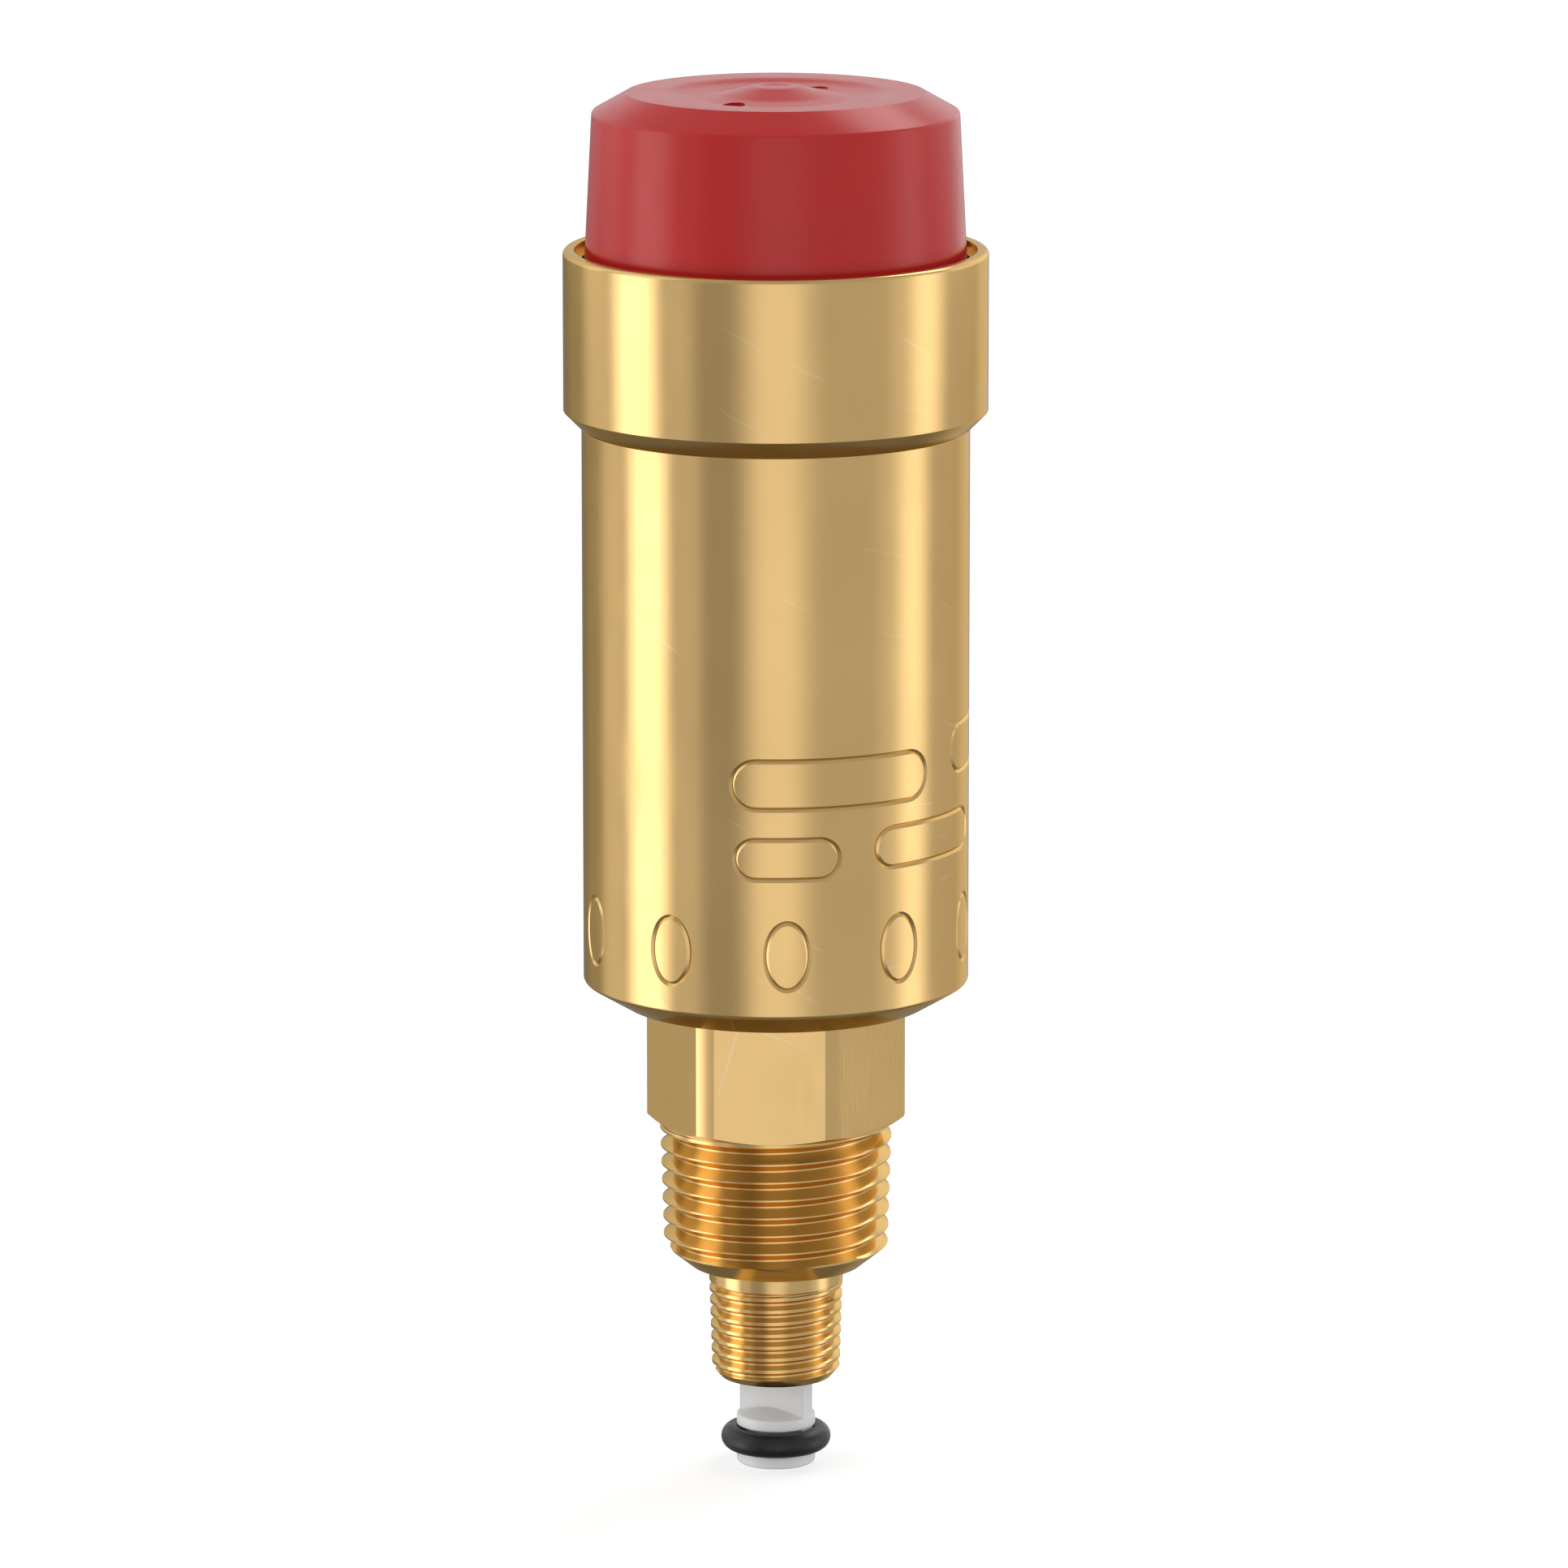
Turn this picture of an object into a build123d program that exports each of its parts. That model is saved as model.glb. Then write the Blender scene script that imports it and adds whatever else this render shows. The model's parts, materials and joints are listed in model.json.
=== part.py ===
"""Float air vent with its own shut-off valve, standing upright, sizes in millimetres.

Z = 0 is the lower face of the spanner hexagon, +Z is up, and the vent's axis is the Z axis.
The vent stands open and dry: the cap is 1.5 mm above its seat and the float is at the bottom.
"""

import math
import os

from build123d import *

os.makedirs("parts", exist_ok=True)

# ---------------------------------------------------------------- driving sizes

TAPER = 1 / 32  # a tapered pipe thread gains this much radius per mm of height
THREAD_FLANK = 27.5  # degrees from the thread's normal
THREAD_OVERCUT = 0.1

# R 3/8 pipe thread that carries the vent
PIPE_END_Z = -10.7
PIPE_PITCH = 1.337
PIPE_DEPTH = 0.856
PIPE_GAUGE_R = 8.331
PIPE_GAUGE_Z = PIPE_END_Z + 6.4
PIPE_ROOT_FLAT = 0.28
PIPE_CREST_Z = -1.16  # height of the topmost crest on the +X side
PIPE_GROOVE_END_Z = -0.45
PIPE_CHAMFER_Z = -9.2
PIPE_END_R = 6.3

# R 1/8 thread on the nose, its crests turned down a little
NOSE_END_Z = -19.21
NOSE_PITCH = 0.907
NOSE_DEPTH = 0.447
NOSE_CREST_R = 4.765
NOSE_CREST_AT_Z = -15.7
NOSE_ROOT_FLAT = 0.14
NOSE_CREST_Z = -13.13  # height of the topmost full crest on the +X side
NOSE_GROOVE_END_Z = -12.0  # the neck above stays plain
NOSE_CHAMFER_Z = -18.49
NOSE_END_R = 4.05

# spanner hexagon
SPANNER = 17.0
HEX_CORNER_R = 9.4
HEX_TOP_Z = 8.98
HEX_TURN = -3.0
HEX_CHAMFER_R = 8.45
HEX_CHAMFER_H = 0.45

# screwed joint between the shut-off valve and the float chamber, M11 x 1.25
JOINT_R = 5.5
JOINT_FIT = 0.05
JOINT_THREAD_END_Z = 3.2
JOINT_END_GAP = 0.2
SPIGOT_R = 4.75
SPIGOT_END_Z = -4.7
SPIGOT_BORE_R = 2.9
SPIGOT_FIT = 0.1
SPIGOT_GROOVE_R = 3.85
SPIGOT_GROOVE_Z = (-3.6, -2.2)
SEAL_FIT = 0.02  # gap round the rubber rings that seal the joints

# inside of the shut-off valve
SPRING_ROOM_R = 4.4
SPRING_SEAT_Z = -9.6
SPRING_ROOM_TOP_Z = -5.0
NOSE_BORE_R = 3.1
NOSE_BORE_CHAMFER = 0.2

# spring that lifts the plug's retainer
SPRING_WIRE_R = 0.27
SPRING_R = 3.75
SPRING_TURNS = 4
SPRING_END_GAP = 0.03

# shut-off plug
PLUG_DISC_R = 2.88
PLUG_DISC_TOP_Z = -22.13
PLUG_DISC_PEAK = 0.64
PLUG_GROOVE_R = 2.22
PLUG_GROOVE_Z = (-24.85, -22.95)
PLUG_END_Z = -25.79
PLUG_BLADE_W = 5.5
PLUG_BLADE_T = 1.35
PLUG_TURN = -32
PLUG_TOP_Z = -4.2
RETAINER_T = 0.7
RETAINER_R = 4.15
RETAINER_RING_W = 0.8
RETAINER_TAB_W = 1.8
RETAINER_TAB_OUTER_R = 3.85
NOTCH_DEPTH = 0.5
NOTCH_FIT = 0.02
TAB_END_GAP = 0.05
RING_SECTION_R = 0.89  # the plug's O-ring, 4.47 x 1.78 mm
RING_INNER_R = 2.235

# float chamber
CHAMBER_R = 13.98
CHAMBER_BORE_R = 12.35
CHAMBER_CONE_R = 11.2
CHAMBER_CONE_TOP_Z = 10.63
CHAMBER_FLOOR_Z = 10.4
CHAMBER_FLOOR_BEVEL = (3.35, 1.8)
CHAMBER_SHOULDER_Z = 51.15
CHAMBER_NECK_R = 13.35
CHAMBER_RIM_Z = 58.5

# collar round the head
COLLAR_R = 15.28
COLLAR_CHAMFER = 1.28
COLLAR_TOP_Z = 64.05
COLLAR_EDGE_R = 0.62
COLLAR_MOUTH_R = 14.45
COLLAR_LEDGE_Z = 63.3
COLLAR_BORE_R = 13.95
COLLAR_FLANGE_R = 12.2
COLLAR_FLANGE_Z = (60.0, 61.0)
COLLAR_FIT = 0.05

# head with the vent neck
HEAD_FLANGE_R = 13.2
HEAD_SPIGOT_R = 12.3
HEAD_UNDER_Z = 55.6
HEAD_GROOVE_R = 11.2
HEAD_GROOVE_Z = (56.4, 57.8)
HUB_R = 6.0
HUB_TOP_Z = 61.5
NECK_R = 3.5
NECK_FLAT = 2.9
NECK_TOP_Z = 71.1
NECK_BORE_R = 1.2
NECK_LIP_R = 2.2
NECK_LIP_H = 0.5
NOZZLE_SOCKET_R = 2.5
NOZZLE_SOCKET_TOP_Z = 58.0

# nozzle that the float closes
NOZZLE_FLANGE_R = 3.4
NOZZLE_FLANGE_T = 0.8
NOZZLE_TIP_Z = 52.4
NOZZLE_TIP_R = 1.0
NOZZLE_TIP_H = 1.6
NOZZLE_STEM_R = 1.8
NOZZLE_BORE_R = 0.6
NOZZLE_FIT = 0.02

# cap
CAP_TOP_Z = 75.33
CAP_RING_R = 10.7
CAP_MOAT_R = 8.0
CAP_SHOULDER_R = 13.18
CAP_SHOULDER_Z = 73.92
CAP_RIM_R = 13.75
CAP_RIM_Z = 62.7
CAP_WALL = 1.3
CAP_ROOF_Z = 73.6
CAP_ROOF_CORNER_Z = 72.52
CAP_BOSS_R = 4.5
CAP_BOSS_FIT = 0.05
CAP_BOSS_END_Z = 64.5
CAP_HOLE_R = 0.8
CAP_HOLE_AT_R = 5.5
CAP_HOLE_TURN = 57.3
WASHER_T = 1.0
WASHER_FIT = 0.02

# lever, its pivot at the origin of its own frame, x along the arm towards the float's link
DROOP = 12.0
PIVOT_X = -7.0
PIVOT_Z = 50.8
LEVER_T = 1.2
LEVER_W = 5.0
LEVER_LENGTH = 15.8
LEVER_CORNER_R = 1.2
BARREL_R = 1.6
BARREL_W = 5.8
PIN_R = 0.9
PIN_FIT = 0.05
PAD_AT = 7.0
PAD_R = 2.0
PAD_FIT = 0.02
PAD_CUP_R = 2.6
PAD_FLOOR = 0.2
PAD_CUP_TOP = 1.1
PAD_TOP = 1.57
SLOT_AT = 14.07
SLOT_LENGTH = 2.0
SLOT_W = 1.3

# bracket under the head
BRACKET_T = 0.8
BRACKET_X = (-11.0, -3.9)
BRACKET_HALF_W = 4.2
EAR_X = (-8.8, -5.2)
EAR_BOTTOM_Z = 49.4
PIN_HEAD_R = 1.5
PIN_HEAD_T = 0.5
SCREW_X = (-9.6, -5.7)
SCREW_HEAD_R = 1.7
SCREW_HEAD_T = 0.9
SCREW_R = 1.0
SCREW_LENGTH = 4.0
SCREW_END_GAP = 0.3
SCREW_FIT = 0.02
SCREW_SLOT = 0.4

# float
FLOAT_R = 11.3
FLOAT_WALL = 0.8
FLOAT_BOTTOM_Z = 11.4
FLOAT_TOP_Z = 41.0
FLOAT_FOOT_Z = 10.45
FLOAT_FOOT_R = 0.8
FLOAT_FOOT_AT_R = 6.5
FLOAT_EDGE = (3.3, 2.1)
LID_T = 1.2
LID_SPIGOT = 1.2
LID_SPIGOT_W = 1.0
LID_FIT = 0.05
LINK_X = 6.85
LINK_R = 0.5
LINK_FIT = 0.02
LINK_BOSS_R = 1.8
LINK_BOSS_TOP_Z = 44.4
LINK_END_Z = 42.0
LINK_STOP_R = 1.1
LINK_STOP_Z = (46.2, 46.95)
LINK_HOOK_Z = 49.6
LINK_HOOK_Y = 3.2
LINK_BEND = 0.8


# ---------------------------------------------------------------- repeated shapes


def turned(*profile):
    """A solid of revolution about Z from (radius, height) points."""
    with BuildPart() as shape:
        with BuildSketch(Plane.XZ):
            with BuildLine():
                Polyline(*profile, close=True)
            make_face()
        revolve(axis=Axis.Z)
    return shape.part


def o_ring(centre_r, section_r, height):
    """A rubber ring lying flat round the Z axis."""
    with BuildPart() as ring:
        with BuildSketch(Plane.XZ):
            with Locations((centre_r, height)):
                Circle(section_r)
        revolve(axis=Axis.Z)
    return ring.part


def thread_groove(pitch, depth, root_flat, root_r, start_z, end_z):
    """The helical V groove of a right-handed tapered thread, to be cut from a blank."""
    half_root = root_flat / 2
    reach = depth + THREAD_OVERCUT
    half_mouth = half_root + reach * math.tan(math.radians(THREAD_FLANK))
    cone = math.degrees(math.atan(TAPER))
    with BuildPart() as groove:
        with BuildLine() as path:
            Helix(pitch, end_z - start_z, root_r, center=(0, 0, start_z), cone_angle=cone)
        section = Plane(origin=path.line @ 0, x_dir=(1, 0, 0), z_dir=path.line % 0)
        with BuildSketch(section):
            with BuildLine():
                Polyline(
                    (0, -half_root),
                    (0, half_root),
                    (reach, half_mouth),
                    (reach, -half_mouth),
                    close=True,
                )
            make_face()
        sweep(path=path.line, is_frenet=True)
    return groove.part


def turned_hexagon():
    """The spanner hexagon, its corners turned round and its lower edge chamfered."""
    with BuildPart() as hexagon:
        with BuildSketch():
            RegularPolygon(SPANNER / 2, 6, major_radius=False, rotation=HEX_TURN)
        extrude(amount=HEX_TOP_Z)
        with BuildSketch(Plane.XZ):
            with BuildLine():
                Polyline(
                    (0, 0),
                    (HEX_CHAMFER_R, 0),
                    (HEX_CORNER_R, HEX_CHAMFER_H),
                    (HEX_CORNER_R, HEX_TOP_Z),
                    (0, HEX_TOP_Z),
                    close=True,
                )
            make_face()
        revolve(axis=Axis.Z, mode=Mode.INTERSECT)
    return hexagon.part


# ---------------------------------------------------------------- shut-off valve


def pipe_crest(height):
    """Crest radius of the pipe thread at a height."""
    return PIPE_GAUGE_R + (height - PIPE_GAUGE_Z) * TAPER


def nose_crest(height):
    """Crest radius of the nose thread at a height."""
    return NOSE_CREST_R + (height - NOSE_CREST_AT_Z) * TAPER


# both grooves begin below their blanks, half a pitch off a crest on the +X side
pipe_start_z = PIPE_CREST_Z - 7.5 * PIPE_PITCH
nose_start_z = NOSE_CREST_Z - 7.5 * NOSE_PITCH
pipe_groove = thread_groove(
    PIPE_PITCH,
    PIPE_DEPTH,
    PIPE_ROOT_FLAT,
    pipe_crest(pipe_start_z) - PIPE_DEPTH,
    pipe_start_z,
    PIPE_GROOVE_END_Z,
)
nose_groove = thread_groove(
    NOSE_PITCH,
    NOSE_DEPTH,
    NOSE_ROOT_FLAT,
    nose_crest(nose_start_z) - NOSE_DEPTH,
    nose_start_z,
    NOSE_GROOVE_END_Z,
)

with BuildPart() as valve_body:
    pipe_blank = turned(
        (SPRING_ROOM_R, PIPE_END_Z),
        (PIPE_END_R, PIPE_END_Z),
        (pipe_crest(PIPE_CHAMFER_Z), PIPE_CHAMFER_Z),
        (pipe_crest(0), 0),
        (SPRING_ROOM_R, 0),
    )
    add(pipe_blank - pipe_groove)
    nose_blank = turned(
        (NOSE_BORE_R, NOSE_END_Z),
        (NOSE_END_R, NOSE_END_Z),
        (nose_crest(NOSE_CHAMFER_Z), NOSE_CHAMFER_Z),
        (nose_crest(SPRING_SEAT_Z), SPRING_SEAT_Z),
        (NOSE_BORE_R, SPRING_SEAT_Z),
    )
    add(nose_blank - nose_groove)
    add(turned_hexagon())
    # the bore, from the nose up: seat edge, guide, spring room, spigot bore, screwed joint
    add(
        turned(
            (0, NOSE_END_Z),
            (NOSE_BORE_R + NOSE_BORE_CHAMFER, NOSE_END_Z),
            (NOSE_BORE_R, NOSE_END_Z + NOSE_BORE_CHAMFER),
            (NOSE_BORE_R, SPRING_SEAT_Z),
            (SPRING_ROOM_R, SPRING_SEAT_Z),
            (SPRING_ROOM_R, SPRING_ROOM_TOP_Z),
            (SPIGOT_R + SPIGOT_FIT, SPRING_ROOM_TOP_Z),
            (SPIGOT_R + SPIGOT_FIT, JOINT_THREAD_END_Z - JOINT_END_GAP),
            (JOINT_R + JOINT_FIT, JOINT_THREAD_END_Z - JOINT_END_GAP),
            (JOINT_R + JOINT_FIT, HEX_TOP_Z),
            (0, HEX_TOP_Z),
        ),
        mode=Mode.SUBTRACT,
    )

retainer_z = SPIGOT_END_Z - RETAINER_T
blade_face = Plane.XY.rotated((0, 0, PLUG_TURN))

with BuildPart() as shutoff_plug:
    add(
        turned(
            (0, PLUG_END_Z),
            (PLUG_DISC_R, PLUG_END_Z),
            (PLUG_DISC_R, PLUG_GROOVE_Z[0]),
            (PLUG_GROOVE_R, PLUG_GROOVE_Z[0]),
            (PLUG_GROOVE_R, PLUG_GROOVE_Z[1]),
            (PLUG_DISC_R, PLUG_GROOVE_Z[1]),
            (PLUG_DISC_R, PLUG_DISC_TOP_Z),
            (0, PLUG_DISC_TOP_Z + PLUG_DISC_PEAK),
        )
    )
    with BuildSketch(blade_face.offset(PLUG_GROOVE_Z[1])):
        Rectangle(PLUG_BLADE_W, PLUG_BLADE_T)
    extrude(amount=PLUG_TOP_Z - PLUG_GROOVE_Z[1])
    # notches in both edges of the blade for the spring retainer
    with BuildSketch(blade_face.offset(retainer_z - NOTCH_FIT)):
        with Locations((-PLUG_BLADE_W / 2, 0), (PLUG_BLADE_W / 2, 0)):
            Rectangle(2 * NOTCH_DEPTH, 2 * PLUG_BLADE_T)
    extrude(amount=RETAINER_T + 2 * NOTCH_FIT, mode=Mode.SUBTRACT)

with BuildPart() as plug_o_ring:
    add(o_ring(RING_INNER_R + RING_SECTION_R, RING_SECTION_R, sum(PLUG_GROOVE_Z) / 2))

with BuildPart() as spring_retainer:
    with BuildSketch(blade_face.offset(retainer_z)):
        Circle(RETAINER_R)
        Circle(RETAINER_R - RETAINER_RING_W, mode=Mode.SUBTRACT)
        tab_inner = PLUG_BLADE_W / 2 - NOTCH_DEPTH + TAB_END_GAP
        tab_length = RETAINER_TAB_OUTER_R - tab_inner
        tab_middle = tab_inner + tab_length / 2
        with Locations((tab_middle, 0), (-tab_middle, 0)):
            Rectangle(tab_length, RETAINER_TAB_W)
    extrude(amount=RETAINER_T)

spring_base_z = SPRING_SEAT_Z + SPRING_WIRE_R + SPRING_END_GAP
spring_height = retainer_z - 2 * (SPRING_WIRE_R + SPRING_END_GAP) - SPRING_SEAT_Z

with BuildPart() as shutoff_spring:
    with BuildLine() as spring_path:
        Helix(spring_height / SPRING_TURNS, spring_height, SPRING_R, center=(0, 0, spring_base_z))
    with BuildSketch(Plane(origin=spring_path.line @ 0, z_dir=spring_path.line % 0)):
        Circle(SPRING_WIRE_R)
    sweep(path=spring_path.line, is_frenet=True)

# ---------------------------------------------------------------- float chamber and head

with BuildPart() as float_chamber:
    add(
        turned(
            (SPIGOT_BORE_R, SPIGOT_END_Z),
            (SPIGOT_R, SPIGOT_END_Z),
            (SPIGOT_R, SPIGOT_GROOVE_Z[0]),
            (SPIGOT_GROOVE_R, SPIGOT_GROOVE_Z[0]),
            (SPIGOT_GROOVE_R, SPIGOT_GROOVE_Z[1]),
            (SPIGOT_R, SPIGOT_GROOVE_Z[1]),
            (SPIGOT_R, JOINT_THREAD_END_Z),
            (JOINT_R, JOINT_THREAD_END_Z),
            (JOINT_R, HEX_TOP_Z),
            (CHAMBER_CONE_R, HEX_TOP_Z),
            (CHAMBER_R, CHAMBER_CONE_TOP_Z),
            (CHAMBER_R, CHAMBER_SHOULDER_Z),
            (CHAMBER_NECK_R, CHAMBER_SHOULDER_Z),
            (CHAMBER_NECK_R, CHAMBER_RIM_Z),
            (CHAMBER_BORE_R, CHAMBER_RIM_Z),
            (CHAMBER_BORE_R, CHAMBER_FLOOR_Z + CHAMBER_FLOOR_BEVEL[1]),
            (CHAMBER_BORE_R - CHAMBER_FLOOR_BEVEL[0], CHAMBER_FLOOR_Z),
            (SPIGOT_BORE_R, CHAMBER_FLOOR_Z),
        )
    )

spigot_seal_r = (SPIGOT_R + SPIGOT_FIT - SPIGOT_GROOVE_R) / 2 - SEAL_FIT
with BuildPart() as stem_o_ring:
    add(o_ring(SPIGOT_GROOVE_R + spigot_seal_r + SEAL_FIT, spigot_seal_r, sum(SPIGOT_GROOVE_Z) / 2))

with BuildPart() as head_collar:
    add(
        turned(
            (CHAMBER_NECK_R + COLLAR_FIT, CHAMBER_SHOULDER_Z),
            (COLLAR_R - COLLAR_CHAMFER, CHAMBER_SHOULDER_Z),
            (COLLAR_R, CHAMBER_SHOULDER_Z + COLLAR_CHAMFER),
            (COLLAR_R, COLLAR_TOP_Z),
            (COLLAR_MOUTH_R, COLLAR_TOP_Z),
            (COLLAR_MOUTH_R, COLLAR_LEDGE_Z),
            (COLLAR_BORE_R, COLLAR_LEDGE_Z),
            (COLLAR_BORE_R, COLLAR_FLANGE_Z[1]),
            (COLLAR_FLANGE_R, COLLAR_FLANGE_Z[1]),
            (COLLAR_FLANGE_R, COLLAR_FLANGE_Z[0]),
            (CHAMBER_NECK_R + COLLAR_FIT, COLLAR_FLANGE_Z[0]),
        )
    )
    rim_edges = head_collar.edges().filter_by_position(Axis.Z, COLLAR_TOP_Z, COLLAR_TOP_Z)
    fillet(rim_edges.sort_by(SortBy.RADIUS)[-1], COLLAR_EDGE_R)

with BuildPart() as valve_head:
    add(
        turned(
            (0, HEAD_UNDER_Z),
            (HEAD_SPIGOT_R, HEAD_UNDER_Z),
            (HEAD_SPIGOT_R, HEAD_GROOVE_Z[0]),
            (HEAD_GROOVE_R, HEAD_GROOVE_Z[0]),
            (HEAD_GROOVE_R, HEAD_GROOVE_Z[1]),
            (HEAD_SPIGOT_R, HEAD_GROOVE_Z[1]),
            (HEAD_SPIGOT_R, CHAMBER_RIM_Z),
            (HEAD_FLANGE_R, CHAMBER_RIM_Z),
            (HEAD_FLANGE_R, COLLAR_FLANGE_Z[0]),
            (HUB_R, COLLAR_FLANGE_Z[0]),
            (HUB_R, HUB_TOP_Z),
            (NECK_R, HUB_TOP_Z),
            (NECK_R, NECK_TOP_Z - NECK_LIP_H),
            (NECK_LIP_R, NECK_TOP_Z - NECK_LIP_H),
            (NECK_LIP_R, NECK_TOP_Z),
            (0, NECK_TOP_Z),
        )
    )
    add(
        turned(
            (0, HEAD_UNDER_Z),
            (NOZZLE_SOCKET_R, HEAD_UNDER_Z),
            (NOZZLE_SOCKET_R, NOZZLE_SOCKET_TOP_Z),
            (NECK_BORE_R, NOZZLE_SOCKET_TOP_Z),
            (NECK_BORE_R, NECK_TOP_Z),
            (0, NECK_TOP_Z),
        ),
        mode=Mode.SUBTRACT,
    )
    # air escapes down two flats on the neck
    with BuildSketch(Plane.XY.offset(HUB_TOP_Z)):
        with Locations((0, NECK_FLAT + NECK_R), (0, -NECK_FLAT - NECK_R)):
            Rectangle(4 * NECK_R, 2 * NECK_R)
    extrude(amount=NECK_TOP_Z - HUB_TOP_Z, mode=Mode.SUBTRACT)
    with BuildSketch(Plane.XY.offset(HEAD_UNDER_Z)):
        with Locations(*[(x, 0) for x in SCREW_X]):
            Circle(SCREW_R + SCREW_FIT)
    extrude(amount=SCREW_LENGTH - BRACKET_T + SCREW_END_GAP, mode=Mode.SUBTRACT)

head_seal_r = (CHAMBER_BORE_R - HEAD_GROOVE_R) / 2 - SEAL_FIT
with BuildPart() as head_o_ring:
    add(o_ring(HEAD_GROOVE_R + head_seal_r + SEAL_FIT, head_seal_r, sum(HEAD_GROOVE_Z) / 2))

with BuildPart() as vent_nozzle:
    add(
        turned(
            (NOZZLE_BORE_R, NOZZLE_TIP_Z),
            (NOZZLE_TIP_R, NOZZLE_TIP_Z),
            (NOZZLE_STEM_R, NOZZLE_TIP_Z + NOZZLE_TIP_H),
            (NOZZLE_STEM_R, HEAD_UNDER_Z - NOZZLE_FLANGE_T),
            (NOZZLE_FLANGE_R, HEAD_UNDER_Z - NOZZLE_FLANGE_T),
            (NOZZLE_FLANGE_R, HEAD_UNDER_Z),
            (NOZZLE_SOCKET_R - NOZZLE_FIT, HEAD_UNDER_Z),
            (NOZZLE_SOCKET_R - NOZZLE_FIT, NOZZLE_SOCKET_TOP_Z),
            (NOZZLE_BORE_R, NOZZLE_SOCKET_TOP_Z),
        )
    )

# ---------------------------------------------------------------- cap

with BuildPart() as cap:
    with BuildSketch(Plane.XZ):
        with BuildLine():
            # round the centre: a shallow dish on a small hill, then the moat with the two holes
            dish = Spline(
                (0, CAP_TOP_Z + 0.33),
                (0.8, CAP_TOP_Z + 0.36),
                (1.45, CAP_TOP_Z + 0.47),
                tangents=[(1, 0), (1, 0.1)],
            )
            hill = Spline(
                dish @ 1,
                (2.6, CAP_TOP_Z + 0.22),
                (4.2, CAP_TOP_Z - 0.18),
                (5.8, CAP_TOP_Z - 0.36),
                (7.0, CAP_TOP_Z - 0.24),
                (CAP_MOAT_R, CAP_TOP_Z),
                tangents=[(1, -0.1), (1, 0.25)],
            )
            Polyline(
                hill @ 1,
                (CAP_RING_R, CAP_TOP_Z),
                (CAP_SHOULDER_R, CAP_SHOULDER_Z),
                (CAP_RIM_R, CAP_RIM_Z),
                (CAP_RIM_R - CAP_WALL, CAP_RIM_Z),
                (CAP_SHOULDER_R - CAP_WALL, CAP_ROOF_CORNER_Z),
                (CAP_RING_R, CAP_ROOF_Z),
                (CAP_BOSS_R, CAP_ROOF_Z),
                (CAP_BOSS_R, CAP_BOSS_END_Z),
                (NECK_R + CAP_BOSS_FIT, CAP_BOSS_END_Z),
                (NECK_R + CAP_BOSS_FIT, CAP_ROOF_Z),
                (0, CAP_ROOF_Z),
                dish @ 0,
            )
        make_face()
    revolve(axis=Axis.Z)
    with BuildSketch(Plane.XY.offset(CAP_ROOF_Z)):
        with PolarLocations(CAP_HOLE_AT_R, 2, start_angle=CAP_HOLE_TURN):
            Circle(CAP_HOLE_R)
    extrude(amount=CAP_TOP_Z - CAP_ROOF_Z + 1, mode=Mode.SUBTRACT)

with BuildPart() as cap_washer:
    with BuildSketch(Plane.XY.offset(CAP_ROOF_Z - WASHER_T)):
        Circle(NECK_R + CAP_BOSS_FIT - WASHER_FIT)
    extrude(amount=WASHER_T)

# ---------------------------------------------------------------- lever and bracket

droop = math.radians(DROOP)
arm = Plane(
    origin=(PIVOT_X, 0, PIVOT_Z),
    x_dir=(math.cos(droop), 0, -math.sin(droop)),
    z_dir=(math.sin(droop), 0, math.cos(droop)),
)
across_pivot = Plane(origin=(PIVOT_X, 0, PIVOT_Z), x_dir=(1, 0, 0), z_dir=(0, -1, 0))

with BuildPart() as lever:
    with BuildSketch(arm.offset(-LEVER_T / 2)):
        with Locations((LEVER_LENGTH / 2, 0)):
            RectangleRounded(LEVER_LENGTH, LEVER_W, LEVER_CORNER_R)
        with Locations((PAD_AT, 0)):
            Circle(PAD_CUP_R)
    extrude(amount=LEVER_T)
    with BuildSketch(arm):
        with Locations((PAD_AT, 0)):
            Circle(PAD_CUP_R)
    extrude(amount=PAD_CUP_TOP)
    with BuildSketch(across_pivot):
        Circle(BARREL_R)
    extrude(amount=BARREL_W / 2, both=True)
    with BuildSketch(arm.offset(PAD_FLOOR)):
        with Locations((PAD_AT, 0)):
            Circle(PAD_R + PAD_FIT)
    extrude(amount=PAD_TOP, mode=Mode.SUBTRACT)
    with BuildSketch(arm.offset(-LEVER_T)):
        with Locations((SLOT_AT, 0)):
            SlotOverall(SLOT_LENGTH, SLOT_W)
    extrude(amount=2 * LEVER_T, mode=Mode.SUBTRACT)
    with BuildSketch(across_pivot):
        Circle(PIN_R + PIN_FIT)
    extrude(amount=BARREL_W, both=True, mode=Mode.SUBTRACT)

with BuildPart() as valve_pad:
    with BuildSketch(arm.offset(PAD_FLOOR)):
        with Locations((PAD_AT, 0)):
            Circle(PAD_R)
    extrude(amount=PAD_TOP - PAD_FLOOR)

bracket_under_z = HEAD_UNDER_Z - BRACKET_T
ear_mid_y = BRACKET_HALF_W - BRACKET_T / 2

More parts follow.
